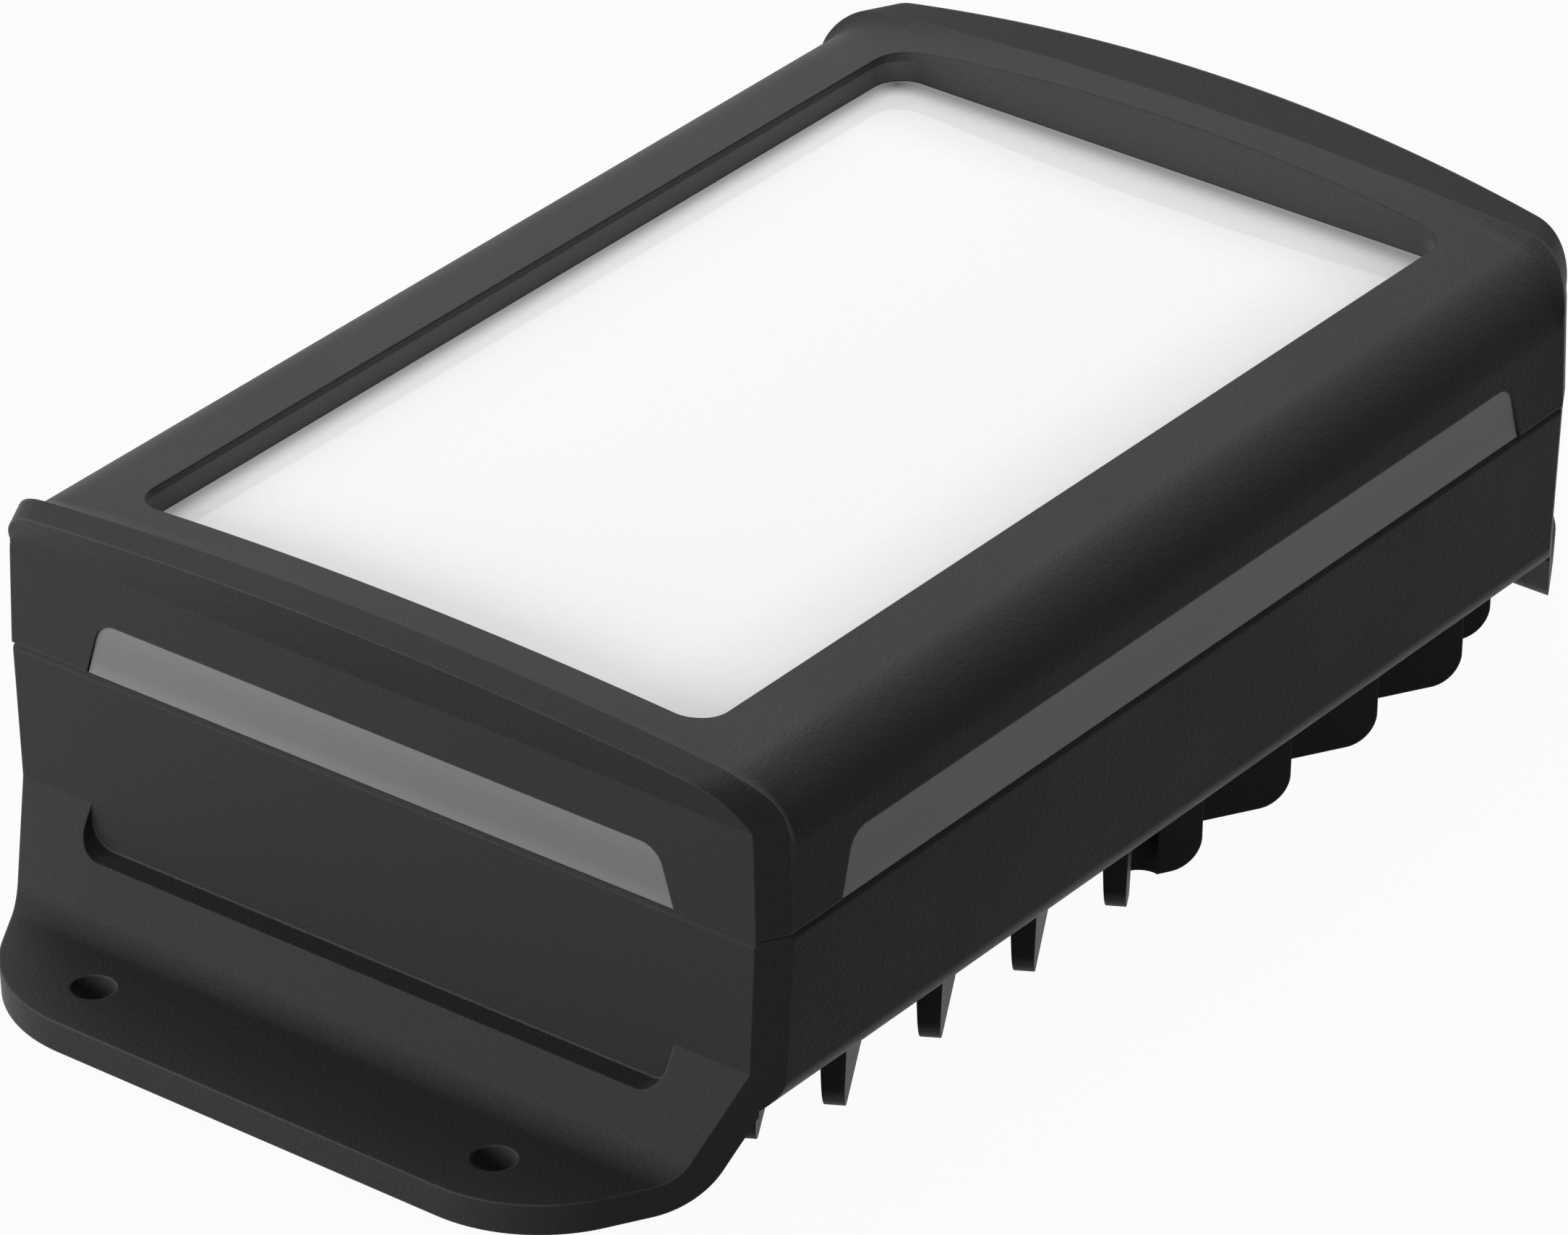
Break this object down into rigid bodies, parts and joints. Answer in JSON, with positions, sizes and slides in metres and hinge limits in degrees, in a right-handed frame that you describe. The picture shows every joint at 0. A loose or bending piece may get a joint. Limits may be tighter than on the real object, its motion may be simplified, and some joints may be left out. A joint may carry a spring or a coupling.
{
  "type": "outdoor wall light",
  "caption": "Flat rectangular outdoor LED wall light, black die-cast body with domed cover, frosted front window, grey side light strips, mounting feet and angled cooling fins at the back.",
  "frame": {"origin": "centre of the wall plane under the light, on the undersides of its two feet", "axes": "+Z out of the wall towards the front window, +X along the body's length from foot to foot, -Y is the long side seen in the picture"},
  "size_m": [0.2758, 0.1496, 0.0756],
  "materials": {
    "powder_coated_casting": "fine textured matt black powder coat",
    "frosted_glass": "frosted, milky white",
    "smoked_diffuser": "satin, smoke grey",
    "silicone": "matt",
    "stainless_steel": "satin",
    "aluminium_sheet": "mill finish",
    "white_board": "matt white",
    "thermal_pad": "matt",
    "black_plastic": "matt",
    "brass": "plain"
  },
  "bodies": {
    "root": {"housing": "powder_coated_casting", "cover": "powder_coated_casting", "lens": "frosted_glass", "side_window_front": "smoked_diffuser", "side_window_rear": "smoked_diffuser", "end_window_left": "smoked_diffuser", "end_window_right": "smoked_diffuser", "lens_gasket": "silicone", "rim_gasket": "silicone", "cable_grommet": "silicone", "lens_clip_1": "stainless_steel", "lens_clip_2": "stainless_steel", "lens_clip_3": "stainless_steel", "lens_clip_4": "stainless_steel", "clip_screw_1": "stainless_steel", "clip_screw_2": "stainless_steel", "clip_screw_3": "stainless_steel", "clip_screw_4": "stainless_steel", "cover_screw_1": "stainless_steel", "cover_screw_2": "stainless_steel", "cover_screw_3": "stainless_steel", "cover_screw_4": "stainless_steel", "cover_screw_5": "stainless_steel", "cover_screw_6": "stainless_steel", "plate_screw_1": "stainless_steel", "plate_screw_2": "stainless_steel", "plate_screw_3": "stainless_steel", "plate_screw_4": "stainless_steel", "plate_screw_5": "stainless_steel", "plate_screw_6": "stainless_steel", "driver_screw_1": "stainless_steel", "driver_screw_2": "stainless_steel", "led_plate": "aluminium_sheet", "led_board_front": "white_board", "led_board_rear": "white_board", "reflector_sheet_front": "white_board", "reflector_sheet_rear": "white_board", "terminal_block": "white_board", "thermal_pad_front": "thermal_pad", "thermal_pad_rear": "thermal_pad", "driver": "black_plastic", "driver_input_lead": "black_plastic", "driver_output_lead": "black_plastic", "vent_plug": "black_plastic", "vent_nut": "black_plastic", "terminal_screw_1": "brass", "terminal_screw_2": "brass", "terminal_screw_3": "brass", "terminal_screw_4": "brass", "terminal_screw_5": "brass", "terminal_screw_6": "brass", "earth_washer": "brass", "earth_screw": "brass"}
  },
  "joints": []
}
